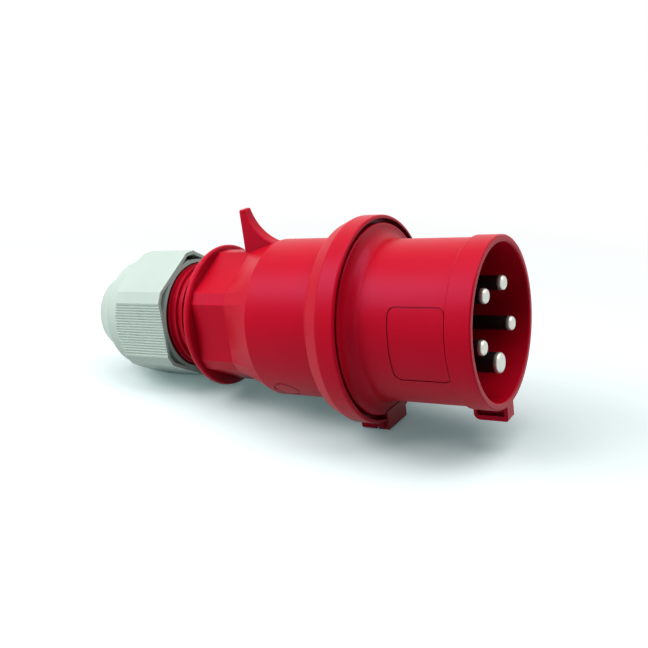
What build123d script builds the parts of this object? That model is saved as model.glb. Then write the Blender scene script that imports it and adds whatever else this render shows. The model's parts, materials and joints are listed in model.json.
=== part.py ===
from build123d import *
from math import atan2, cos, degrees, radians, sin, sqrt, tan
import os

os.makedirs("parts", exist_ok=True)

# Industrial pin and sleeve plug: three phases, neutral and earth, 16 A, with a hexagonal cable gland.
# Lengths are millimetres, angles degrees. Every piece is made about the plug's own axis, which is X:
# the rim of the shroud lies at X = 0, the pins point to +X and the cable leaves towards -X. The key
# nose is on -Z. The last section lays the finished pieces down as the plug comes to rest on a floor.

# Clearances
slip_gap = 0.2          # pieces that drop into one another by hand
guide_gap = 0.3         # round the latch and between the turning nut and what it passes
pocket_gap = 0.4        # open gap beside the latch, as seen from the front
cut_margin = 1.0        # how far a cutting shape runs past the faces that it opens

# Contacts, on a pitch circle with the larger earth pin at the key
contact_circle_r = 13.75
pin_r = 2.5
earth_pin_r = 3.5
pin_setback = 1.4       # pin tips behind the rim
pin_tip_round = 1.2
relief_width = 0.8      # fine turned groove round each pin, at the carrier's face
relief_depth = 0.25
relief_front = 0.5      # how far the groove starts in front of that face
barrel_r = 4.2
earth_barrel_r = 4.8
barrel_seat_depth = 3.0
barrel_length = 15.0
wire_hole_r = 2.3
wire_hole_depth = 10.0
screw_r = 1.9
screw_place = 5.0       # screw axis from the rear end of its barrel
screw_head_r = 3.0
screw_head_height = 2.0
screw_slot_width = 0.9
screw_slot_depth = 1.0
screw_flat_depth = 0.6
screw_reach = 1.0       # how far a screw stands into its wire hole
barrel_round = 0.4

# Front shroud
shroud_length = 42.6    # rim to the front face of the flange
shroud_bore_r = 26.0
shroud_wall = 1.65
lip_length = 8.4
lip_height = 0.75
rim_round = 0.6
mouth_depth = 37.5      # rim to the ledge that stops the contact carrier
ledge_thickness = 2.0
ledge_width = 2.4
flange_gap = 1.6        # open ring between the flange disc and the housing's flange ring
flange_disc_thickness = 3.0
disc_fillet = 4.2
sleeve_bore_r = 25.1
sleeve_wall = 2.8
sleeve_length = 8.7
bayonet_height = 2.0
bayonet_angle = 44
bayonet_count = 3
bayonet_thickness = 2.4

# Key nose under the shroud
nose_width = 5.7
nose_reach = 33.3       # axis to its running face
nose_length = 12.0
nose_wall = 1.3
nose_floor = 1.7
nose_web = 1.7
nose_round = 2.2
nose_front_round = 0.8

# Plain label panel on the near side, outlined by a fine groove, and a plain ring mark on the body
panel_length = 19.7
panel_height = 24.4
panel_round = 2.6
groove_width = 0.5
groove_depth = 0.3
mark_r = 4.8
mark_angle = -132.5
mark_from_shoulder = 7.4

# Contact carrier
carrier_thickness = 14.0
carrier_boss_height = 1.4
barrier_length = 11.0
barrier_thickness = 1.6
hub_r = 4.4
snap_arm_length = 2.1
snap_arm_wall = 1.5
snap_height = 1.0
barrier_reach = 23.0
snap_angle = 24

# Rear housing, from the flange ring back to the gland thread
shelf_width = 4.5       # step behind the flange disc, between the recess and the bore
ring_wall = 1.2
ring_length = 6.7
ring_taper_length = 5.0
ring_taper_drop = 2.2
ring_back_length = 2.9
body_r = 28.5
body_wall = 2.2
body_length = 24.8
shoulder_length = 12.0
wrench_across_flats = 45.5
wrench_facet_r = 25.0   # axis to the six narrow corner facets
wrench_length = 14.4
wrench_wall = 2.75
bead_r = 26.8
bead_thickness = 2.4
bead_round = 1.0
thread_root_r = 18.9
thread_height = 1.0
thread_pitch = 3.0
thread_sink = 0.6       # how deep the thread's profile starts inside the spigot
thread_base_width = 1.8
thread_crest_width = 0.4
thread_turns = 5.5
spigot_length = 20.2
spigot_wall = 2.7
seat_length = 3.6
seat_bore_r = 12.0
claw_thickness = 3.0

# Finger hook on top of the shoulder
hook_width = 5.0
hook_reach = 40.6       # axis to its tip
hook_tip_length = 2.1
hook_setback = 2.2      # back of the hook behind the shoulder's rear end
hook_foot_length = 13.2
hook_hollow = 2.1       # depth of its concave front below the straight line from tip to foot
hook_round = 0.7
hook_foot_sink = 0.3     # how deep the end of its front runs into the body

# Latch box under the flange ring, and the sprung latch in it
latch_width = 14.4
latch_reach = 38.5      # axis to its outer face
pocket_floor = 1.0      # wall between the latch's pocket and the bore
latch_thickness = 4.2
latch_proud = 0.3
latch_travel = 3.5
latch_round = 0.7
rail_height = 1.6
rail_depth = 1.0
rail_reach = 35.6
box_wall = 1.8
box_reach = 37.6
box_round = 1.2
box_back_wall = 1.6
box_front_step = 1.0
box_front_reach = 36.9   # its lower front part, from which the latch stands out
rail_length = 1.9
spring_r = 1.5
spring_wire_r = 0.28
spring_turns = 4
spring_bore_r = 2.0
spring_bore_depth = 2.6
spring_end_gap = 0.05
spring_reach = 34.9

# Sealing ring round the sleeve
gasket_gap = 0.1        # free ring in its groove, each side

# Gland nut
nut_backed_off = 13.3   # bead to the nut's front face, as it stands unscrewed
nut_hex_length = 21.2
nut_collar_r = 22.2
nut_collar_taper = 1.4
nut_collar_length = 5.8
nut_dome_step = 0.4
nut_dome_length = 10.3
nut_dome_bulge = 0.3
nut_end_r = 14.2
nut_end_round = 1.2
nut_end_wall = 2.6
nut_bore_r = 20.3
nut_sleeve_r = 21.55
nut_shell = 1.35
nut_pocket_depth = 10.0
nut_thread_space = 18.0
nut_inner_r = 18.6
nut_inner_end_r = 14.0
cable_hole_r = 12.0
rib_count = 20
rib_depth = 0.42

# Thrust ring, clamping collet and cable seal in the gland
thrust_ring_length = 4.0
thrust_ring_bore_r = 12.8
thrust_ring_cone = 2.4
collet_wall = 2.4
collet_base_length = 4.0
finger_count = 10
finger_slot = 1.2
seal_bore_r = 8.0
seal_end_chamfer = 2.2
seal_setback = 0.6

# Stations along the axis
flange_x = -shroud_length
disc_back_x = flange_x - flange_disc_thickness
sleeve_end_x = disc_back_x - sleeve_length
ledge_back_x = -(mouth_depth + ledge_thickness)
carrier_face_x = ledge_back_x + carrier_boss_height
relief_x = carrier_face_x + relief_front
carrier_back_x = ledge_back_x - carrier_thickness
snap_end_x = carrier_back_x - snap_arm_length
barrel_x = carrier_back_x + barrel_seat_depth
barrel_end_x = barrel_x - barrel_length
shelf_x = disc_back_x - slip_gap
ring_taper_x = flange_x - ring_length
ring_back_x = ring_taper_x - ring_taper_length
body_front_x = ring_back_x - ring_back_length
shoulder_x = body_front_x - body_length
wrench_x = shoulder_x - shoulder_length
bead_x = wrench_x - wrench_length
spigot_x = bead_x - bead_thickness
spigot_end_x = spigot_x - spigot_length
seat_x = spigot_x - seat_length
nut_x = spigot_x - nut_backed_off
nut_hex_end_x = nut_x - nut_hex_length
nut_collar_x = nut_hex_end_x - (wrench_facet_r - nut_collar_r)
nut_dome_x = nut_collar_x - nut_collar_length
nut_end_x = nut_dome_x - nut_dome_length
thrust_ring_x = nut_x - nut_thread_space
nut_step_x = thrust_ring_x - thrust_ring_length - slip_gap / 2
latch_x = flange_x + latch_proud
latch_back_x = latch_x - latch_thickness
box_back_x = latch_back_x - latch_travel - slip_gap
claw_x = sleeve_end_x + bayonet_thickness + 2 * slip_gap + claw_thickness
flange_bore_end_x = sleeve_end_x - 2 * slip_gap
hook_back_x = wrench_x - hook_setback

# Radii that follow from the walls and clearances above
shroud_r = shroud_bore_r + shroud_wall
lip_r = shroud_r + lip_height
ledge_r = shroud_bore_r - ledge_width
carrier_r = sleeve_bore_r - slip_gap
sleeve_r = sleeve_bore_r + sleeve_wall
bayonet_r = sleeve_r + bayonet_height
flange_bore_r = bayonet_r + 2 * slip_gap
ring_bore_r = flange_bore_r + shelf_width
ring_r = ring_bore_r + ring_wall
flange_disc_r = ring_bore_r - flange_gap
claw_r = sleeve_r + 2 * slip_gap
body_bore_r = body_r - body_wall
wrench_bore_r = wrench_across_flats / 2 - wrench_wall
spigot_bore_r = thread_root_r - spigot_wall
collet_r = spigot_bore_r - slip_gap
collet_bore_r = collet_r - collet_wall
seal_r = collet_bore_r - slip_gap
thrust_ring_r = nut_bore_r - guide_gap
latch_half = latch_width / 2
latch_inner_reach = flange_bore_r + pocket_floor + guide_gap
box_half = latch_half + pocket_gap
nut_collar_end_r = nut_collar_r - nut_collar_taper
flat_half_width = 2 * wrench_facet_r - wrench_across_flats / 2 * sqrt(3)

# Contact names go round from the earth pin at the key nose, seen from the front
contact_names = ("earth", "l1", "l2", "l3", "neutral")
contact_step = 360 / len(contact_names)
earth_angle = 270
pieces = {}


def wrench_outline(across_flats, facet_r):
    """Hexagon with flats to both sides, and its six corners cut back to narrow facets."""
    RegularPolygon(across_flats / 2, 6, major_radius=False, rotation=30)
    RegularPolygon(facet_r, 6, major_radius=False, rotation=0, mode=Mode.INTERSECT)


def sectors(count, start, angle, inner_r, outer_r):
    """Ring sectors of one angle, the first at the start angle, shared out round the axis."""
    half = tan(radians(angle / 2))
    reach = 2 * outer_r
    with PolarLocations(0, count, start_angle=start):
        Polygon((0, 0), (reach, -reach * half), (reach, reach * half), align=None)
    Circle(outer_r, mode=Mode.INTERSECT)
    Circle(inner_r, mode=Mode.SUBTRACT)


def contact_point(angle, x):
    """Point on a contact's axis, and the direction from the plug's axis out through it."""
    outward = Vector(0, cos(radians(angle)), sin(radians(angle)))
    return Vector(x, 0, 0) + outward * contact_circle_r, outward


# Fine outline of the label panel, as a ridge that is cut out of the shroud
with BuildPart() as panel_outline:
    with BuildSketch(Plane.XZ.offset(shroud_r - 2 * shroud_wall)):
        with Locations((-lip_length - panel_length / 2, 0)):
            RectangleRounded(panel_length, panel_height, panel_round)
            RectangleRounded(
                panel_length - 2 * groove_width,
                panel_height - 2 * groove_width,
                panel_round - groove_width,
                mode=Mode.SUBTRACT,
            )
    extrude(amount=2 * shroud_wall + cut_margin)
    Cylinder(shroud_r - groove_depth, 4 * panel_length, rotation=(0, 90, 0), mode=Mode.SUBTRACT)

# Front shroud: one moulding with the mouth rim, the tube, the flange disc and the rear sleeve
with BuildPart() as front_shroud:
    with BuildSketch(Plane.XZ):
        with BuildLine():
            FilletPolyline(
                (-mouth_depth, shroud_bore_r),
                (0, shroud_bore_r),
                (0, lip_r),
                (-lip_length, lip_r),
                (-lip_length, shroud_r),
                (flange_x, shroud_r),
                (flange_x, flange_disc_r),
                (disc_back_x, flange_disc_r),
                (disc_back_x, sleeve_r),
                radius=(rim_round, rim_round, 0.3, 0.3, disc_fillet, 0.5, 0.5),
            )
            Polyline(
                (disc_back_x, sleeve_r),
                (sleeve_end_x, sleeve_r),
                (sleeve_end_x, sleeve_bore_r),
                (ledge_back_x, sleeve_bore_r),
                (ledge_back_x, ledge_r),
                (-mouth_depth, ledge_r),
                (-mouth_depth, shroud_bore_r),
            )
        make_face()
    revolve(axis=Axis.X)

    # Bayonet lugs round the rear end of the sleeve
    with BuildSketch(Plane.YZ.offset(sleeve_end_x)):
        sectors(bayonet_count, 90, bayonet_angle, sleeve_r - sleeve_wall / 2, bayonet_r)
    extrude(amount=bayonet_thickness)

    # Key nose: a rail on a thin web, with its rear corner rounded and both sides cored out
    with BuildSketch(Plane.XZ):
        with Locations((0, -nose_reach)):
            Rectangle(nose_length, nose_reach - shroud_bore_r - rim_round, align=(Align.MAX, Align.MIN))
        fillet(vertices().group_by(Axis.X)[0].sort_by(Axis.Y)[0], nose_round)
        fillet(vertices().group_by(Axis.X)[-1].sort_by(Axis.Y)[0], nose_front_round)
    extrude(amount=nose_width / 2, both=True)
    for side in (1, -1):
        with BuildSketch(Plane.XZ.offset(side * nose_web / 2)):
            with Locations((-nose_wall, -nose_reach + nose_floor)):
                Rectangle(
                    nose_length - 2 * nose_wall,
                    nose_reach - nose_floor - lip_r + lip_height / 2,
                    align=(Align.MAX, Align.MIN),
                )
        extrude(amount=side * nose_width, mode=Mode.SUBTRACT)

    add(panel_outline.part, mode=Mode.SUBTRACT)

    # Notch in the flange disc for the latch
    with BuildSketch(Plane.YZ.offset(disc_back_x - cut_margin)):
        with Locations((0, -latch_inner_reach + guide_gap)):
            Rectangle(latch_width + 2 * guide_gap, latch_reach, align=(Align.CENTER, Align.MAX))
    extrude(amount=flange_disc_thickness + 2 * cut_margin, mode=Mode.SUBTRACT)
pieces["front_shroud"] = front_shroud

# Snap arms of the contact carrier, with noses that hook behind the end of the shroud's sleeve
with BuildPart() as snap_arms:
    with BuildSketch(Plane.XZ):
        with BuildLine():
            Polyline(
                (carrier_back_x + cut_margin, carrier_r - snap_arm_wall),
                (carrier_back_x + cut_margin, carrier_r),
                (sleeve_end_x - slip_gap, carrier_r),
                (sleeve_end_x - slip_gap, carrier_r + snap_height),
                (snap_end_x, carrier_r + snap_height),
                (snap_end_x, carrier_r - snap_arm_wall),
                close=True,
            )
        make_face()
    revolve(axis=Axis.X)
    with BuildSketch(Plane.YZ.offset(snap_end_x)):
        sectors(bayonet_count, 90, snap_angle, barrier_reach, sleeve_r)
    extrude(amount=carrier_thickness, mode=Mode.INTERSECT)

# Contact carrier: an insulating puck behind the shroud's ledge, with barriers between the terminals
with BuildPart() as contact_carrier:
    with BuildSketch(Plane.XZ):
        with BuildLine():
            Polyline(
                (carrier_face_x, 0),
                (carrier_face_x, ledge_r - slip_gap),
                (ledge_back_x, ledge_r - slip_gap),
                (ledge_back_x, carrier_r),
                (carrier_back_x, carrier_r),
                (carrier_back_x, 0),
                close=True,
            )
        make_face()
    revolve(axis=Axis.X)
    with BuildSketch(Plane.YZ.offset(carrier_back_x)):
        with PolarLocations(0, len(contact_names), start_angle=earth_angle + contact_step / 2):
            Rectangle(barrier_reach, barrier_thickness, align=(Align.MIN, Align.CENTER))
        Circle(hub_r)
    extrude(amount=-barrier_length)

    add(snap_arms.part)

    # Holes for the pins, stepped for their terminal barrels
    with BuildSketch(Plane.YZ.offset(barrel_x)):
        with PolarLocations(contact_circle_r, len(contact_names), start_angle=earth_angle):
            Circle(pin_r + slip_gap / 2)
        with PolarLocations(contact_circle_r, 1, start_angle=earth_angle):
            Circle(earth_pin_r + slip_gap / 2)
    extrude(amount=carrier_thickness, mode=Mode.SUBTRACT)
    with BuildSketch(Plane.YZ.offset(barrel_x)):
        with PolarLocations(contact_circle_r, len(contact_names), start_angle=earth_angle):
            Circle(barrel_r + slip_gap)
        with PolarLocations(contact_circle_r, 1, start_angle=earth_angle):
            Circle(earth_barrel_r + slip_gap)
    extrude(amount=-2 * barrel_seat_depth, mode=Mode.SUBTRACT)
pieces["contact_carrier"] = contact_carrier

# Contact pins with screw terminals behind the carrier
for index, contact in enumerate(contact_names):
    shank_r = earth_pin_r if contact == "earth" else pin_r
    clamp_r = earth_barrel_r if contact == "earth" else barrel_r
    on_axis, outward = contact_point(earth_angle + index * contact_step, 0)
    flat_height = clamp_r - screw_flat_depth
    screw_seat = Plane(
        origin=on_axis + outward * flat_height + Vector(barrel_end_x + screw_place, 0, 0),
        x_dir=(1, 0, 0),
        z_dir=outward,
    )
    with BuildPart() as pin:
        with BuildSketch(Plane(origin=on_axis, x_dir=(1, 0, 0), z_dir=Vector(1, 0, 0).cross(outward))):
            with BuildLine():
                FilletPolyline(
                    (-pin_setback, 0),
                    (-pin_setback, shank_r),
                    (relief_x, shank_r),
                    radius=pin_tip_round,
                )
                Polyline(
                    (relief_x, shank_r),
                    (relief_x, shank_r - relief_depth),
                    (relief_x - relief_width, shank_r - relief_depth),
                    (relief_x - relief_width, shank_r),
                    (barrel_x, shank_r),
                )
                FilletPolyline(
                    (barrel_x, shank_r),
                    (barrel_x, clamp_r),
                    (barrel_end_x, clamp_r),
                    (barrel_end_x, 0),
                    radius=barrel_round,
                )
                Line((barrel_end_x, 0), (-pin_setback, 0))
            make_face()
        revolve(axis=Axis(on_axis, (1, 0, 0)))
        with BuildSketch(Plane(origin=on_axis + Vector(barrel_end_x, 0, 0), x_dir=(0, 1, 0), z_dir=(1, 0, 0))):
            Circle(wire_hole_r)
        extrude(amount=wire_hole_depth, mode=Mode.SUBTRACT)
        with BuildSketch(screw_seat):
            Rectangle(2 * (screw_head_r + slip_gap), 2 * clamp_r)
        extrude(amount=clamp_r, mode=Mode.SUBTRACT)
        with BuildSketch(screw_seat):
            Circle(screw_r + slip_gap / 2)
        extrude(amount=-flat_height, mode=Mode.SUBTRACT)
    pieces["pin_" + contact] = pin

    with BuildPart() as terminal_screw:
        with BuildSketch(screw_seat):
            Circle(screw_r)
        extrude(amount=-(flat_height - wire_hole_r + screw_reach))
        with BuildSketch(screw_seat):
            Circle(screw_head_r)
        extrude(amount=screw_head_height)
        chamfer(faces().sort_by(Axis(screw_seat.origin, outward))[-1].edges(), screw_slot_depth / 3)
        with BuildSketch(screw_seat.offset(screw_head_height)):
            Rectangle(screw_slot_width, 3 * screw_head_r)
        extrude(amount=-screw_slot_depth, mode=Mode.SUBTRACT)
    pieces["terminal_screw_" + contact] = terminal_screw

# Soft sealing ring between the flange disc, the sleeve and the housing's bore
with BuildPart() as flange_gasket:
    with BuildSketch(Plane.YZ.offset(claw_x + gasket_gap)):
        Circle(flange_bore_r - gasket_gap)
        Circle(sleeve_r + gasket_gap, mode=Mode.SUBTRACT)
    extrude(amount=disc_back_x - claw_x - gasket_gap)
pieces["flange_gasket"] = flange_gasket

# Finger hook: a flat fin with a hollow front
with BuildPart() as hook:
    with BuildSketch(Plane.XZ):
        with BuildLine():
            SagittaArc(
                (hook_back_x + hook_tip_length, hook_reach),
                (hook_back_x + hook_foot_length, body_r - hook_foot_sink),
                -hook_hollow,
            )
            Polyline(
                (hook_back_x + hook_foot_length, body_r - hook_foot_sink),
                (hook_back_x + hook_foot_length, body_r - body_wall / 2),
                (hook_back_x, wrench_facet_r - wrench_wall),
                (hook_back_x, hook_reach),
                (hook_back_x + hook_tip_length, hook_reach),
            )
        make_face()
    extrude(amount=hook_width / 2, both=True)
    fillet(edges().filter_by_position(Axis.Z, body_r, 2 * body_r), hook_round)

# Plain ring mark, cut as a fine groove into the body's lower near side
with BuildPart() as ring_mark:
    with BuildSketch(
        Plane(
            origin=(shoulder_x + mark_from_shoulder, 0, 0),
            x_dir=(1, 0, 0),
            z_dir=(0, cos(radians(mark_angle)), sin(radians(mark_angle))),
        )
    ):
        Circle(mark_r)
        Circle(mark_r - groove_width, mode=Mode.SUBTRACT)
    extrude(amount=body_r + cut_margin)
    with BuildSketch(Plane.YZ.offset(shoulder_x)):
        Circle(body_r - groove_depth)
    extrude(amount=body_length, mode=Mode.SUBTRACT)

# Coarse gland thread, wound round the spigot from its end
with BuildPart() as gland_thread:
    with BuildLine():
        winding = Helix(
            pitch=thread_pitch,
            height=thread_turns * thread_pitch,
            radius=thread_root_r,
            center=(spigot_end_x + thread_base_width / 2 + guide_gap, 0, 0),
            direction=(1, 0, 0),
        )
    winding_start = winding @ 0
    with BuildSketch(
        Plane(
            origin=winding_start,
            x_dir=Vector(0, winding_start.Y, winding_start.Z),
            z_dir=winding % 0,
        )
    ):
        Polygon(
            (-thread_sink, -thread_base_width / 2),
            (-thread_sink, thread_base_width / 2),
            (thread_height, thread_crest_width / 2),
            (thread_height, -thread_crest_width / 2),
            align=None,
        )
    sweep(is_frenet=True)

# Directions of the hexagon's twelve corners, so that the shoulder runs straight from each to the body
with BuildSketch() as wrench_section:
    wrench_outline(wrench_across_flats, wrench_facet_r)
corner_angles = sorted(degrees(atan2(corner.Y, corner.X)) for corner in wrench_section.sketch.vertices())

# Rear housing: flange ring, round body, hexagon, bead and threaded spigot in one moulding
with BuildPart() as rear_housing:
    with BuildSketch(Plane.XZ):
        with BuildLine():
            FilletPolyline(
                (flange_x, 0),
                (flange_x, ring_r),
                (ring_taper_x, ring_r),
                (ring_back_x, ring_r - ring_taper_drop),
                (body_front_x, body_r),
                (shoulder_x, body_r),
                radius=(0.8, 1.5, 1.2, 1.5),
            )
            Polyline((shoulder_x, body_r), (shoulder_x, 0), (flange_x, 0))
        make_face()
    revolve(axis=Axis.X)
    with BuildSketch(Plane.YZ.offset(shoulder_x)):
        with BuildLine():
            for start, end in zip(corner_angles, corner_angles[1:] + [corner_angles[0] + 360]):
                CenterArc((0, 0), body_r, start, end - start)
        make_face()
    with BuildSketch(Plane.YZ.offset(wrench_x)):
        wrench_outline(wrench_across_flats, wrench_facet_r)
    loft()
    with BuildSketch(Plane.YZ.offset(wrench_x)):
        wrench_outline(wrench_across_flats, wrench_facet_r)
    extrude(amount=-wrench_length)
    with BuildSketch(Plane.XZ):
        with BuildLine():
            FilletPolyline(
                (bead_x, 0),
                (bead_x, bead_r),
                (spigot_x, bead_r),
                (spigot_x, thread_root_r),
                radius=(bead_round, bead_round),
            )
            Polyline(
                (spigot_x, thread_root_r),
                (spigot_end_x, thread_root_r),
                (spigot_end_x, 0),
                (bead_x, 0),
            )
        make_face()
    revolve(axis=Axis.X)
    add(gland_thread.part)
    add(hook.part)

    # Latch box, before the bores are cut: shallower in front, where the latch stands out of it
    for box_front_x, reach in ((latch_back_x, box_reach), (flange_x - box_front_step, box_front_reach)):
        with BuildSketch(Plane.YZ.offset(box_back_x - box_back_wall)):
            with Locations((0, -body_r)):
                Rectangle(2 * (box_half + box_wall), reach - body_r, align=(Align.CENTER, Align.MAX))
            fillet(vertices().group_by(Axis.Y)[0], box_round)
        extrude(amount=box_front_x - box_back_x + box_back_wall)

    # Recess for the flange disc, bores, cable seat and seal bore
    with BuildSketch(Plane.XZ):
        with BuildLine():
            Polyline(
                (flange_x + cut_margin, 0),
                (flange_x + cut_margin, ring_bore_r),
                (shelf_x, ring_bore_r),
                (shelf_x, flange_bore_r),
                (flange_bore_end_x, flange_bore_r),
                (flange_bore_end_x, body_bore_r),
                (shoulder_x, body_bore_r),
                (wrench_x, wrench_bore_r),
                (bead_x, wrench_bore_r),
                (spigot_x, seat_bore_r),
                (seat_x, seat_bore_r),
                (seat_x, spigot_bore_r),
                (spigot_end_x - cut_margin, spigot_bore_r),
                (spigot_end_x - cut_margin, 0),
                close=True,
            )
        make_face()
    revolve(axis=Axis.X, mode=Mode.SUBTRACT)

    # Claws that the bayonet lugs lock behind
    with BuildSketch(Plane.YZ.offset(claw_x)):
        sectors(bayonet_count, 90, bayonet_angle, claw_r, flange_bore_r + cut_margin)
    extrude(amount=-claw_thickness)

    # Pocket of the latch, with a groove for its rails in each wall
    with BuildSketch(Plane.YZ.offset(box_back_x)):
        with Locations((0, -latch_inner_reach + guide_gap)):
            Rectangle(2 * box_half, latch_reach, align=(Align.CENTER, Align.MAX))
    extrude(amount=flange_x + cut_margin - box_back_x, mode=Mode.SUBTRACT)
    with BuildSketch(Plane.YZ.offset(box_back_x)):
        with Locations((0, -rail_reach + rail_height / 2)):
            Rectangle(2 * (latch_half + rail_depth + guide_gap), rail_height + 2 * guide_gap)
    extrude(amount=latch_back_x + rail_length + slip_gap - box_back_x, mode=Mode.SUBTRACT)

    add(ring_mark.part, mode=Mode.SUBTRACT)
pieces["rear_housing"] = rear_housing

# Sprung latch that holds the flange disc from turning
with BuildPart() as lock_latch:
    with BuildSketch(Plane.YZ.offset(latch_back_x)):
        with Locations((0, -latch_inner_reach)):
            Rectangle(latch_width, latch_reach - latch_inner_reach, align=(Align.CENTER, Align.MAX))
        fillet(vertices().group_by(Axis.Y)[0], latch_round)
    extrude(amount=latch_thickness)
    fillet(faces().sort_by(Axis.X)[-1].edges(), latch_proud)
    with BuildSketch(Plane.YZ.offset(latch_back_x)):
        with Locations((0, -rail_reach + rail_height / 2)):
            Rectangle(2 * (latch_half + rail_depth), rail_height)
    extrude(amount=rail_length)
    with BuildSketch(Plane.YZ.offset(latch_back_x)):
        with Locations((0, -spring_reach)):
            Circle(spring_bore_r)
    extrude(amount=spring_bore_depth, mode=Mode.SUBTRACT)
pieces["lock_latch"] = lock_latch

# Latch spring, between the latch's bore and the back wall of the box
spring_length = latch_back_x + spring_bore_depth - box_back_x - 2 * (spring_wire_r + spring_end_gap)
with BuildPart() as latch_spring:
    with BuildLine():
        coil = Helix(
            pitch=spring_length / spring_turns,
            height=spring_length,
            radius=spring_r,
            center=(box_back_x + spring_wire_r + spring_end_gap, 0, -spring_reach),
            direction=(1, 0, 0),
        )
    with BuildSketch(Plane(origin=coil @ 0, z_dir=coil % 0)):
        RegularPolygon(spring_wire_r, 8)
    sweep(is_frenet=True)
pieces["latch_spring"] = latch_spring

# Gland nut: ribbed hexagon in front, plain collar and domed end behind
with BuildPart() as gland_nut:
    with BuildSketch(Plane.YZ.offset(nut_x)):
        wrench_outline(wrench_across_flats, wrench_facet_r)
    extrude(amount=nut_collar_x - nut_x)
    with BuildSketch(Plane.XZ):
        with BuildLine():
            Polyline(
                (nut_x, 0),
                (nut_x, wrench_facet_r + cut_margin),
                (nut_hex_end_x + cut_margin, wrench_facet_r + cut_margin),
                (nut_collar_x, nut_collar_r),
                (nut_collar_x, 0),
                close=True,
            )
        make_face()
    revolve(axis=Axis.X, mode=Mode.INTERSECT)
    with BuildSketch(Plane.XZ):
        with BuildLine():
            Polyline(
                (nut_end_x, 0),
                (nut_collar_x, 0),
                (nut_collar_x, nut_collar_r),
                (nut_dome_x, nut_collar_end_r),
                (nut_dome_x, nut_collar_end_r - nut_dome_step),
            )
            SagittaArc((nut_dome_x, nut_collar_end_r - nut_dome_step), (nut_end_x, nut_end_r), nut_dome_bulge)
            Line((nut_end_x, nut_end_r), (nut_end_x, 0))
        make_face()
        fillet(vertices().sort_by_distance((nut_end_x, nut_end_r))[0], nut_end_round)
    revolve(axis=Axis.X)

    # Fine ribs on every second flat, between grooves of triangular section
    rib_pitch = 2 * flat_half_width / rib_count
    with BuildSketch(Plane.YZ.offset(nut_x)):
        with PolarLocations(wrench_across_flats / 2, 3, start_angle=60):
            with GridLocations(1, rib_pitch, 1, rib_count - 1):
                Rectangle(sqrt(2) * rib_depth, sqrt(2) * rib_depth, rotation=45)
    extrude(amount=nut_collar_x - nut_x, mode=Mode.SUBTRACT)

    # Pockets between the thread sleeve and the thin hexagonal shell
    with BuildSketch(Plane.YZ.offset(nut_x)):
        wrench_outline(wrench_across_flats - 2 * nut_shell, wrench_facet_r - nut_shell)
        Circle(nut_sleeve_r, mode=Mode.SUBTRACT)
    extrude(amount=-nut_pocket_depth, mode=Mode.SUBTRACT)

    # Thread space, seat of the thrust ring and cable hole
    with BuildSketch(Plane.XZ):
        with BuildLine():
            Polyline(
                (nut_x + cut_margin, 0),
                (nut_x + cut_margin, nut_bore_r),
                (nut_step_x, nut_bore_r),
                (nut_step_x, nut_inner_r),
                (nut_dome_x, nut_inner_r),
                (nut_end_x + nut_end_wall, nut_inner_end_r),
                (nut_end_x + nut_end_wall, cable_hole_r),
                (nut_end_x - cut_margin, cable_hole_r),
                (nut_end_x - cut_margin, 0),
                close=True,
            )
        make_face()
    revolve(axis=Axis.X, mode=Mode.SUBTRACT)
pieces["gland_nut"] = gland_nut

# Thrust ring in the nut, with a cone that closes the collet's fingers
with BuildPart() as thrust_ring:
    with BuildSketch(Plane.XZ):
        with BuildLine():
            Polyline(
                (thrust_ring_x, thrust_ring_bore_r + thrust_ring_cone),
                (thrust_ring_x, thrust_ring_r),
                (thrust_ring_x - thrust_ring_length, thrust_ring_r),
                (thrust_ring_x - thrust_ring_length, thrust_ring_bore_r),
                (thrust_ring_x - thrust_ring_cone, thrust_ring_bore_r),
                close=True,
            )
        make_face()
    revolve(axis=Axis.X)
pieces["thrust_ring"] = thrust_ring

# Clamping collet: a ring on the seat in the spigot, slotted into fingers towards the nut
with BuildPart() as clamp_collet:
    with BuildSketch(Plane.YZ.offset(spigot_end_x)):
        Circle(collet_r)
        Circle(collet_bore_r, mode=Mode.SUBTRACT)
    extrude(amount=seat_x - spigot_end_x)
    chamfer(edges().filter_by(GeomType.CIRCLE).group_by(Axis.X)[0].sort_by(SortBy.RADIUS)[-1], collet_wall / 3)
    with BuildSketch(Plane.YZ.offset(spigot_end_x)):
        with PolarLocations(0, finger_count // 2):
            Rectangle(4 * collet_r, finger_slot)
    extrude(amount=seat_x - collet_base_length - spigot_end_x, mode=Mode.SUBTRACT)
pieces["clamp_collet"] = clamp_collet

# Rubber cable seal inside the collet
with BuildPart() as cable_seal:
    with BuildSketch(Plane.XZ):
        with BuildLine():
            Polyline(
                (seat_x, seal_bore_r + seal_end_chamfer),
                (seat_x, seal_r),
                (spigot_end_x + seal_setback, seal_r),
                (spigot_end_x + seal_setback, seal_bore_r + seal_end_chamfer),
                (spigot_end_x + seal_setback + seal_end_chamfer, seal_bore_r),
                (seat_x - seal_end_chamfer, seal_bore_r),
                close=True,
            )
        make_face()
    revolve(axis=Axis.X)
pieces["cable_seal"] = cable_seal

# The plug rests on its latch and on the lowest corner of the nut, with the pins a little up. The
# frame's origin is below the middle of everything, on the floor.
rest_tilt = degrees(atan2(latch_reach - wrench_facet_r, latch_back_x - nut_hex_end_x))
nose_up = Rot(0, -rest_tilt, 0)
whole = Compound([nose_up * piece.part for piece in pieces.values()]).bounding_box()
at_rest = Pos(-whole.center().X, -whole.center().Y, -whole.min.Z) * nose_up
for node, piece in pieces.items():
    piece.part = piece.part.moved(at_rest)
    piece.part.label = node
    export_step(piece.part, f"parts/{node}.step")
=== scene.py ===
import json
from math import cos, pi, radians, sin

import bmesh
import bpy
from mathutils import Matrix, Quaternion, Vector


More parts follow.
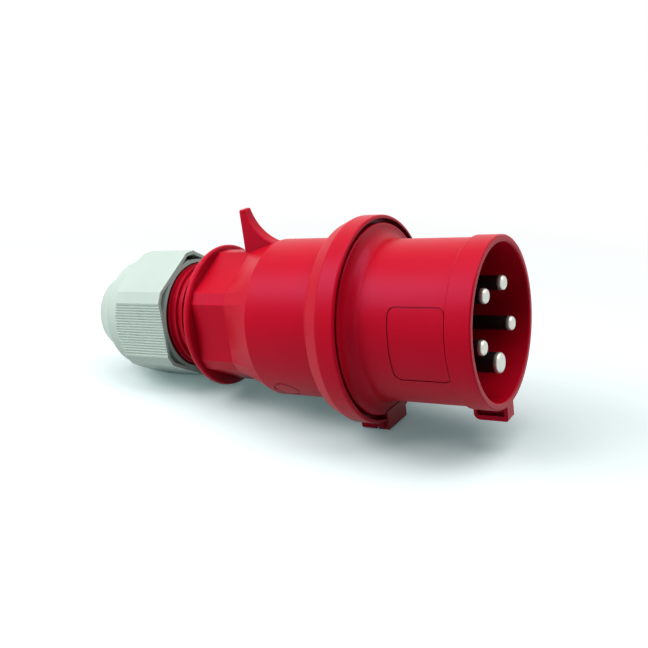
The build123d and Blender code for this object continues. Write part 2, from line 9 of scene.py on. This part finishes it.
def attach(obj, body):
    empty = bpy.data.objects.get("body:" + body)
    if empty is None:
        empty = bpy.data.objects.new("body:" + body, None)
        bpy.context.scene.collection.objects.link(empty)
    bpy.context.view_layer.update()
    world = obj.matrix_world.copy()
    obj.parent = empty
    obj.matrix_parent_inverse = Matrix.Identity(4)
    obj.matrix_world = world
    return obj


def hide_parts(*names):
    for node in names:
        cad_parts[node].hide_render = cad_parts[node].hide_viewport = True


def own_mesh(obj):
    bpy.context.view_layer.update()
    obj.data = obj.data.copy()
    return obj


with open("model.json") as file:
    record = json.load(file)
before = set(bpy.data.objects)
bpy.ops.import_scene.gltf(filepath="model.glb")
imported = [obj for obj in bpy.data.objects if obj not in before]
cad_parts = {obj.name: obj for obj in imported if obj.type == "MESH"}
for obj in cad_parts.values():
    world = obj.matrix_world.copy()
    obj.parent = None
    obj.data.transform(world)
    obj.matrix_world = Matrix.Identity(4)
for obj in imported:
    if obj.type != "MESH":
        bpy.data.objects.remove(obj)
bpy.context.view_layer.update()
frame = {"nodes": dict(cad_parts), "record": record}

# The plug's own axis runs through the middle of the shroud's rim. Forward is towards the pins, and the
# key nose points down. The plug matrix turns places that are given along that axis, across it and up
# from it, in metres, into places on the floor where the plug rests.
mounts = {mount["name"]: mount for mount in frame["record"]["mounts"]}
rim_centre = Vector(mounts["shroud_mouth"]["pos_m"])
forward = Vector(mounts["shroud_mouth"]["axis"]).normalized()
across = Vector((0, 1, 0))
plug_axes = Matrix((forward, across, forward.cross(across))).transposed()
plug = Matrix.Translation(rim_centre) @ plug_axes.to_4x4()

# Camera: a 50 mm lens about 330 mm from the middle of the plug, a little above it on the near side, in
# front of the pins. It is rolled by less than a degree.
camera_data = bpy.data.cameras.new("camera")
camera_data.lens = 50.21
camera_data.sensor_width = 36
camera = bpy.data.objects.new("camera", camera_data)
bpy.context.scene.collection.objects.link(camera)
camera.location = plug @ Vector((0.10121, -0.26460, 0.08478))
camera_target = plug @ Vector((-0.0679, 0, -0.00248))
camera_roll = Quaternion((0, 0, 1), radians(-0.815))
camera.rotation_mode = "QUATERNION"
camera.rotation_quaternion = (camera_target - camera.location).to_track_quat("-Z", "Y") @ camera_roll
bpy.context.scene.camera = camera

# Studio: a white floor without a horizon, in a room that is plain white to the camera, to glosses and to
# glass, and lights the plug only dimly. A wide soft lamp hangs above the plug and a key lamp high in
# front of the nut, and two weak low lamps fill the near side.
bpy.context.scene.view_settings.view_transform = "Standard"


def feed(tree, value, socket):
    """Links another node's output to a socket, or sets a plain number or colour on it."""
    if isinstance(value, bpy.types.NodeSocket):
        tree.links.new(value, socket)
    else:
        socket.default_value = value


def combined(tree, operation, first, second):
    """Product, greater one or other combination of two values."""
    node = tree.nodes.new("ShaderNodeMath")
    node.operation = operation
    feed(tree, first, node.inputs[0])
    feed(tree, second, node.inputs[1])
    return node.outputs["Value"]


def ranged(tree, value, from_min=0.0, from_max=1.0, to_min=0.0, to_max=1.0, smooth=False):
    """Value carried over from one range to another, and held at the ends of the new one."""
    node = tree.nodes.new("ShaderNodeMapRange")
    if smooth:
        node.interpolation_type = "SMOOTHSTEP"
    feed(tree, value, node.inputs["Value"])
    feed(tree, from_min, node.inputs["From Min"])
    feed(tree, from_max, node.inputs["From Max"])
    feed(tree, to_min, node.inputs["To Min"])
    feed(tree, to_max, node.inputs["To Max"])
    return node.outputs["Result"]


def mixed_colour(tree, share, first, second, blend="MIX"):
    """Colour that goes from the first to the second as the share goes from 0 to 1."""
    node = tree.nodes.new("ShaderNodeMix")
    node.data_type = "RGBA"
    node.blend_type = blend
    feed(tree, share, node.inputs["Factor"])
    feed(tree, first, node.inputs["A"])
    feed(tree, second, node.inputs["B"])
    return node.outputs["Result"]


def mixed_surface(tree, share, first, second):
    """Shader that goes from the first to the second as the share goes from 0 to 1."""
    node = tree.nodes.new("ShaderNodeMixShader")
    tree.links.new(share, node.inputs["Fac"])
    tree.links.new(first, node.inputs[1])
    tree.links.new(second, node.inputs[2])
    return node.outputs["Shader"]


def seen_rays(tree):
    """Value of 1 for what the camera sees itself, in a gloss or through glass, and 0 for other rays."""
    path = tree.nodes.new("ShaderNodeLightPath")
    camera_or_gloss = combined(tree, "MAXIMUM", path.outputs["Is Camera Ray"], path.outputs["Is Glossy Ray"])
    return combined(tree, "MAXIMUM", camera_or_gloss, path.outputs["Is Transmission Ray"])


room = bpy.data.worlds.new("white room")
bpy.context.scene.world = room
room.use_nodes = True
room_tree = room.node_tree
room_light = room_tree.nodes["Background"]
room_light.inputs["Color"].default_value = (0.90, 0.96, 1.0, 1)
room_light.inputs["Strength"].default_value = 0.12
room_white = room_tree.nodes.new("ShaderNodeBackground")
room_white.inputs["Color"].default_value = (1, 1, 1, 1)
room_white.inputs["Strength"].default_value = 1.0
room_surface = mixed_surface(
    room_tree, seen_rays(room_tree), room_light.outputs["Background"], room_white.outputs["Background"]
)
room_tree.links.new(room_surface, room_tree.nodes["World Output"].inputs["Surface"])

floor_mesh = bpy.data.meshes.new("floor")
floor_sheet = bmesh.new()
bmesh.ops.create_circle(floor_sheet, cap_ends=True, segments=96, radius=4.0)
floor_sheet.to_mesh(floor_mesh)
floor_sheet.free()
floor = bpy.data.objects.new("floor", floor_mesh)
bpy.context.scene.collection.objects.link(floor)

# Near the plug the floor is paint that takes its shadow, with a faint glow where it is seen. Farther out
# it fades into plain white.
paint_reach = 0.13
white_reach = 0.34
paint_for_bounces = (0.42, 0.46, 0.46, 1)
paint_as_seen = (1.06, 1.11, 1.11, 1)
glow_share = 0.105
white_floor = bpy.data.materials.new("white floor")
white_floor.use_nodes = True
floor_tree = white_floor.node_tree
floor_tree.nodes.remove(floor_tree.nodes["Principled BSDF"])
floor_seen = seen_rays(floor_tree)
floor_paint = floor_tree.nodes.new("ShaderNodeBsdfDiffuse")
paint_colour = mixed_colour(floor_tree, floor_seen, paint_for_bounces, paint_as_seen)
floor_tree.links.new(paint_colour, floor_paint.inputs["Color"])
floor_glow = floor_tree.nodes.new("ShaderNodeEmission")
floor_glow.inputs["Color"].default_value = (0.55, 1.0, 1.0, 1)
glow_strength = combined(floor_tree, "MULTIPLY", floor_seen, glow_share)
floor_tree.links.new(glow_strength, floor_glow.inputs["Strength"])
floor_near = floor_tree.nodes.new("ShaderNodeAddShader")
floor_tree.links.new(floor_paint.outputs["BSDF"], floor_near.inputs[0])
floor_tree.links.new(floor_glow.outputs["Emission"], floor_near.inputs[1])
floor_far = floor_tree.nodes.new("ShaderNodeEmission")
floor_far.inputs["Color"].default_value = (1, 1, 1, 1)
floor_far.inputs["Strength"].default_value = 1.0
floor_place = floor_tree.nodes.new("ShaderNodeTexCoord")
floor_distance = floor_tree.nodes.new("ShaderNodeVectorMath")
floor_distance.operation = "LENGTH"
floor_tree.links.new(floor_place.outputs["Object"], floor_distance.inputs[0])
floor_fade = ranged(floor_tree, floor_distance.outputs["Value"], paint_reach, white_reach, smooth=True)
floor_fade_seen = combined(floor_tree, "MULTIPLY", floor_fade, floor_seen)
floor_surface = mixed_surface(
    floor_tree, floor_fade_seen, floor_near.outputs["Shader"], floor_far.outputs["Emission"]
)
floor_tree.links.new(floor_surface, floor_tree.nodes["Material Output"].inputs["Surface"])
floor_mesh.materials.append(white_floor)

lamp_target = Vector((0, 0, 0.035))


def soft_lamp(name, place, width, height, watts):
    """White rectangular studio lamp, aimed at the middle of the plug."""
    lamp_data = bpy.data.lights.new(name, "AREA")
    lamp_data.shape = "RECTANGLE"
    lamp_data.size = width
    lamp_data.size_y = height
    lamp_data.energy = watts
    lamp = bpy.data.objects.new(name, lamp_data)
    lamp.location = Vector(place)
    lamp.rotation_mode = "QUATERNION"
    lamp.rotation_quaternion = (lamp_target - lamp.location).to_track_quat("-Z", "Y")
    bpy.context.scene.collection.objects.link(lamp)


soft_lamp("key lamp", (-0.33, -0.32, 0.50), width=0.40, height=0.40, watts=2.3)
soft_lamp("top lamp", (0.12, 0.06, 0.66), width=0.40, height=0.90, watts=3.3)
soft_lamp("front lamp", (-0.12, -0.68, 0.25), width=0.36, height=0.36, watts=0.36)
soft_lamp("nut lamp", (-0.64, -0.30, 0.14), width=0.26, height=0.26, watts=0.36)


# Front shroud: one moulding in signal red polyamide, with the mouth lip, the key nose and the flange
# disc. The mould leaves a fine even grain outside, and the edges are rubbed a little paler.
def new_socket(group, name, direction, kind, value=None):
    """Adds one named input or output to a shader node group."""
    socket = group.interface.new_socket(name=name, in_out=direction, socket_type=kind)
    if value is not None:
        socket.default_value = value


moulded_grain = bpy.data.node_groups.new("moulded grain", "ShaderNodeTree")
new_socket(moulded_grain, "Grain per metre", "INPUT", "NodeSocketFloat", 2200.0)
new_socket(moulded_grain, "Cloud per metre", "INPUT", "NodeSocketFloat", 45.0)
new_socket(moulded_grain, "Height", "OUTPUT", "NodeSocketFloat")
new_socket(moulded_grain, "Cloud", "OUTPUT", "NodeSocketFloat")
grain_in = moulded_grain.nodes.new("NodeGroupInput")
grain_out = moulded_grain.nodes.new("NodeGroupOutput")
grain_place = moulded_grain.nodes.new("ShaderNodeTexCoord")
grain_noise = moulded_grain.nodes.new("ShaderNodeTexNoise")
grain_noise.inputs["Detail"].default_value = 3.0
cloud_noise = moulded_grain.nodes.new("ShaderNodeTexNoise")
cloud_noise.inputs["Detail"].default_value = 2.0
moulded_grain.links.new(grain_place.outputs["Object"], grain_noise.inputs["Vector"])
moulded_grain.links.new(grain_place.outputs["Object"], cloud_noise.inputs["Vector"])
moulded_grain.links.new(grain_in.outputs["Grain per metre"], grain_noise.inputs["Scale"])
moulded_grain.links.new(grain_in.outputs["Cloud per metre"], cloud_noise.inputs["Scale"])
moulded_grain.links.new(grain_noise.outputs["Fac"], grain_out.inputs["Height"])
moulded_grain.links.new(cloud_noise.outputs["Fac"], grain_out.inputs["Cloud"])

# A rubbed edge is where a slightly rounded surface would turn away from the flat one.
edge_rub = bpy.data.node_groups.new("edge rub", "ShaderNodeTree")
new_socket(edge_rub, "Reach", "INPUT", "NodeSocketFloat", 0.0004)
new_socket(edge_rub, "Edge", "OUTPUT", "NodeSocketFloat")
rub_in = edge_rub.nodes.new("NodeGroupInput")
rub_out = edge_rub.nodes.new("NodeGroupOutput")
rub_bevel = edge_rub.nodes.new("ShaderNodeBevel")
rub_bevel.samples = 6
rub_surface = edge_rub.nodes.new("ShaderNodeNewGeometry")
rub_turn = edge_rub.nodes.new("ShaderNodeVectorMath")
rub_turn.operation = "DOT_PRODUCT"
edge_rub.links.new(rub_in.outputs["Reach"], rub_bevel.inputs["Radius"])
edge_rub.links.new(rub_bevel.outputs["Normal"], rub_turn.inputs[0])
edge_rub.links.new(rub_surface.outputs["Normal"], rub_turn.inputs[1])
rub_edge = ranged(edge_rub, rub_turn.outputs["Value"], from_min=0.99, from_max=0.75)
edge_rub.links.new(rub_edge, rub_out.inputs["Edge"])

# Painted shade: a hollow's colour is darkened the more, the less open space lies within reach of it.
painted_hollow_shade = bpy.data.node_groups.new("painted hollow shade", "ShaderNodeTree")
new_socket(painted_hollow_shade, "Reach", "INPUT", "NodeSocketFloat", 0.014)
new_socket(painted_hollow_shade, "Darkest", "INPUT", "NodeSocketFloat", 0.7)
new_socket(painted_hollow_shade, "Shade", "OUTPUT", "NodeSocketFloat")
hollow_in = painted_hollow_shade.nodes.new("NodeGroupInput")
hollow_out = painted_hollow_shade.nodes.new("NodeGroupOutput")
hollow_open = painted_hollow_shade.nodes.new("ShaderNodeAmbientOcclusion")
hollow_open.samples = 6
painted_hollow_shade.links.new(hollow_in.outputs["Reach"], hollow_open.inputs["Distance"])
hollow_shade = ranged(
    painted_hollow_shade, hollow_open.outputs["AO"], from_min=0.15, from_max=0.75, to_min=hollow_in.outputs["Darkest"]
)
painted_hollow_shade.links.new(hollow_shade, hollow_out.inputs["Shade"])

dark_cloud = 0.90
pale_cloud = 1.08
rub_strength = 0.35
roughness_spread = 0.05
# What a plastic with a dull bounce counts as for the light that it scatters onto the floor and itself.
bounce_grey = (0.10, 0.14, 0.14, 1)


def moulded_plastic(
    name,
    colour,
    rubbed_colour,
    roughness,
    grain_per_metre,
    grain_depth,
    gloss=0.3,
    gloss_tint=(1, 1, 1),
    darkest_painted_shade=0.7,
    dull_bounce=0.0,
):
    """Moulded plastic or rubber: clouded colour, rubbed pale edges, painted shade in the hollows and a fine
    grain.
    """
    material = bpy.data.materials.new(name)
    material.use_nodes = True
    tree = material.node_tree
    shader = tree.nodes["Principled BSDF"]
    shader.inputs["Specular IOR Level"].default_value = gloss
    shader.inputs["Specular Tint"].default_value = (*gloss_tint, 1)
    grain = tree.nodes.new("ShaderNodeGroup")
    grain.node_tree = moulded_grain
    grain.inputs["Grain per metre"].default_value = grain_per_metre
    rub = tree.nodes.new("ShaderNodeGroup")
    rub.node_tree = edge_rub
    hollow = tree.nodes.new("ShaderNodeGroup")
    hollow.node_tree = painted_hollow_shade
    hollow.inputs["Darkest"].default_value = darkest_painted_shade
    dark_colour = (*[dark_cloud * part for part in colour], 1)
    pale_colour = (*[pale_cloud * part for part in colour], 1)
    clouded = mixed_colour(tree, grain.outputs["Cloud"], dark_colour, pale_colour)
    rub_share = combined(tree, "MULTIPLY", rub.outputs["Edge"], rub_strength)
    rubbed = mixed_colour(tree, rub_share, clouded, (*rubbed_colour, 1))
    # Painted shade: the colour is darkened in the hollows.
    surface_colour = mixed_colour(tree, 1.0, rubbed, hollow.outputs["Shade"], blend="MULTIPLY")
    if dull_bounce:
        path = tree.nodes.new("ShaderNodeLightPath")
        bounce_share = combined(tree, "MULTIPLY", path.outputs["Is Diffuse Ray"], dull_bounce)
        surface_colour = mixed_colour(tree, bounce_share, surface_colour, bounce_grey)
    tree.links.new(surface_colour, shader.inputs["Base Color"])
    clouded_roughness = ranged(
        tree,
        grain.outputs["Cloud"],
        to_min=roughness - roughness_spread,
        to_max=roughness + roughness_spread,
    )
    tree.links.new(clouded_roughness, shader.inputs["Roughness"])
    bump = tree.nodes.new("ShaderNodeBump")
    bump.inputs["Strength"].default_value = 0.6
    bump.inputs["Distance"].default_value = grain_depth
    tree.links.new(grain.outputs["Height"], bump.inputs["Height"])
    tree.links.new(bump.outputs["Normal"], shader.inputs["Normal"])
    return material


def dress(node, material):
    """Gives a solid of the frame its finish."""
    for slot in frame["nodes"][node].material_slots:
        slot.material = material


# The red carries the deepest painted shade, in the mouth and in the narrow gaps.
red_polyamide = moulded_plastic(
    "signal red polyamide",
    colour=(0.64, 0.001, 0.014),
    rubbed_colour=(0.68, 0.030, 0.060),
    roughness=0.38,
    grain_per_metre=2600,
    grain_depth=0.00002,
    gloss=0.20,
    gloss_tint=(0.6, 0.42, 1.0),
    darkest_painted_shade=0.40,
    dull_bounce=0.80,
)
dress("front_shroud", red_polyamide)

# Contact carrier: a darker red insulator at the bottom of the mouth, moulded in glass filled polyamide.
# Its snap arms hook behind the end of the shroud's sleeve.
carrier_polyamide = moulded_plastic(
    "carrier red",
    colour=(0.14, 0.003, 0.008),
    rubbed_colour=(0.25, 0.02, 0.03),
    roughness=0.5,
    grain_per_metre=2600,
    grain_depth=0.00002,
    dull_bounce=0.9,
)
dress("contact_carrier", carrier_polyamide)


# Contact pins: turned brass, nickel plated, held in the carrier. The tips are bright, and the shanks
# behind them are darker.
dark_shank_colour = (0.035, 0.022, 0.024, 1)
dark_shank_fade = 0.0008
stain_shade = 0.88
plate_roughness_spread = 0.06


def plated_metal(name, colour, roughness, grain_depth, bright_tip=0.0):
    """Plated metal with a fine grain and a slight stain, which is dark beyond the length of a bright tip."""
    material = bpy.data.materials.new(name)
    material.use_nodes = True
    tree = material.node_tree
    shader = tree.nodes["Principled BSDF"]
    shader.inputs["Metallic"].default_value = 1.0
    grain = tree.nodes.new("ShaderNodeGroup")
    grain.node_tree = moulded_grain
    grain.inputs["Grain per metre"].default_value = 1800
    grain.inputs["Cloud per metre"].default_value = 160
    stained_colour = (*[stain_shade * part for part in colour], 1)
    surface_colour = mixed_colour(tree, grain.outputs["Cloud"], stained_colour, (*colour, 1))
    if bright_tip:
        place = tree.nodes.new("ShaderNodeTexCoord")
        along = tree.nodes.new("ShaderNodeVectorMath")
        along.operation = "DOT_PRODUCT"
        along.inputs[1].default_value = forward
        tree.links.new(place.outputs["Object"], along.inputs[0])
        tip_end = rim_centre.dot(forward) - bright_tip
        shank_darkening = ranged(tree, along.outputs["Value"], from_min=tip_end, from_max=tip_end - dark_shank_fade)
        surface_colour = mixed_colour(tree, shank_darkening, surface_colour, dark_shank_colour)
    tree.links.new(surface_colour, shader.inputs["Base Color"])
    grained_roughness = ranged(
        tree,
        grain.outputs["Height"],
        to_min=roughness - plate_roughness_spread,
        to_max=roughness + plate_roughness_spread,
    )
    tree.links.new(grained_roughness, shader.inputs["Roughness"])
    bump = tree.nodes.new("ShaderNodeBump")
    bump.inputs["Strength"].default_value = 0.4
    bump.inputs["Distance"].default_value = grain_depth
    tree.links.new(grain.outputs["Height"], bump.inputs["Height"])
    tree.links.new(bump.outputs["Normal"], shader.inputs["Normal"])
    return material


contacts = ("earth", "l1", "l2", "l3", "neutral")
nickel = plated_metal(
    "satin nickel", colour=(0.68, 0.70, 0.64), roughness=0.42, grain_depth=0.000004, bright_tip=0.0028
)
for contact in contacts:
    dress("pin_" + contact, nickel)

# Terminal screws: slotted screws in zinc plated steel. Each is screwed into the side of its pin, behind
# the carrier, where it clamps one core of a cable.
zinc = plated_metal("zinc plate", colour=(0.60, 0.61, 0.62), roughness=0.36, grain_depth=0.00001)
for contact in contacts:
    dress("terminal_screw_" + contact, zinc)

# Latch spring: four turns of round zinc plated wire between the box's back wall and the latch's bore.
# It stays against the latch.
cad_spring = frame["nodes"]["latch_spring"]
to_plug = plug.inverted() @ cad_spring.matrix_world
spring_points = [to_plug @ vertex.co for vertex in cad_spring.data.vertices]
spring_back = min(point.x for point in spring_points)
spring_front = max(point.x for point in spring_points)
spring_length = spring_front - spring_back
spring_level = (min(point.z for point in spring_points) + max(point.z for point in spring_points)) / 2
wire_radius = 0.00028
coil_radius = 0.0015
coil_turns = 4
turn_steps = 32
wire_sides = 10
spring_mesh = bpy.data.meshes.new("spring_coil")
spring_wire = bmesh.new()
last_ring = None
for step in range(coil_turns * turn_steps + 1):
    share = step / (coil_turns * turn_steps)
    angle = 2 * pi * coil_turns * share
    outward = Vector((0, cos(angle), sin(angle)))
    middle = Vector((spring_back + wire_radius, 0, spring_level)) + coil_radius * outward
    middle.x += share * (spring_length - 2 * wire_radius)
    ring = []
    for side in range(wire_sides):
        turn = 2 * pi * side / wire_sides
        place = middle + wire_radius * (cos(turn) * outward + sin(turn) * Vector((1, 0, 0)))
        ring.append(spring_wire.verts.new(plug @ place))
    if last_ring is None:
        spring_wire.faces.new(ring)
    else:
        for side in range(wire_sides):
            after = (side + 1) % wire_sides
            spring_wire.faces.new((last_ring[side], last_ring[after], ring[after], ring[side]))
    last_ring = ring
spring_wire.faces.new(list(reversed(last_ring)))
bmesh.ops.recalc_face_normals(spring_wire, faces=spring_wire.faces)
spring_wire.to_mesh(spring_mesh)
spring_wire.free()
spring_mesh.shade_smooth()
spring_mesh.materials.append(zinc)
spring = bpy.data.objects.new("spring_coil", spring_mesh)
bpy.context.scene.collection.objects.link(spring)
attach(spring, "latch")
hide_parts("latch_spring")
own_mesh(spring)

# Rear housing: one moulding in the same signal red polyamide as the shroud, with the flange ring, the
# round body, the finger hook, the hexagon, the bead and the threaded spigot.
dress("rear_housing", red_polyamide)

# Latch: a small moulded slider, painted a duller and darker red than the shroud as painted shade, for it
# lies in shade under the flange ring. It runs in the box under the flange ring and holds the flange disc
# from turning.
shaded_latch_red = moulded_plastic(
    "latch red with painted shade",
    colour=(0.42, 0.010, 0.020),
    rubbed_colour=(0.5, 0.05, 0.06),
    roughness=0.45,
    grain_per_metre=2600,
    grain_depth=0.00003,
)
dress("lock_latch", shaded_latch_red)

# Gland nut, thrust ring and collet: pale grey polyamide with a very fine grain. The nut turns on the
# spigot's thread and pushes the ring, whose cone closes the collet's fingers.
grey_polyamide = moulded_plastic(
    "pale grey polyamide",
    colour=(0.62, 0.74, 0.67),
    rubbed_colour=(0.78, 0.86, 0.81),
    roughness=0.45,
    grain_per_metre=2600,
    grain_depth=0.000008,
    darkest_painted_shade=0.9,
)
for gland_piece in ("gland_nut", "thrust_ring", "clamp_collet"):
    dress(gland_piece, grey_polyamide)

# Sealing ring and cable seal: moulded rubber. The ring between the flange disc and the housing is dark
# red and leaves only a dark line, and the seal inside the collet is black.
rubber_roughness = 0.7
rubber_grain_per_metre = 1800
rubber_grain_depth = 0.00004
red_rubber = moulded_plastic(
    "dark red rubber",
    colour=(0.10, 0.003, 0.006),
    rubbed_colour=(0.15, 0.01, 0.015),
    roughness=rubber_roughness,
    grain_per_metre=rubber_grain_per_metre,
    grain_depth=rubber_grain_depth,
)
dress("flange_gasket", red_rubber)
black_rubber = moulded_plastic(
    "black rubber",
    colour=(0.018, 0.018, 0.019),
    rubbed_colour=(0.05, 0.05, 0.05),
    roughness=rubber_roughness,
    grain_per_metre=rubber_grain_per_metre,
    grain_depth=rubber_grain_depth,
)
dress("cable_seal", black_rubber)
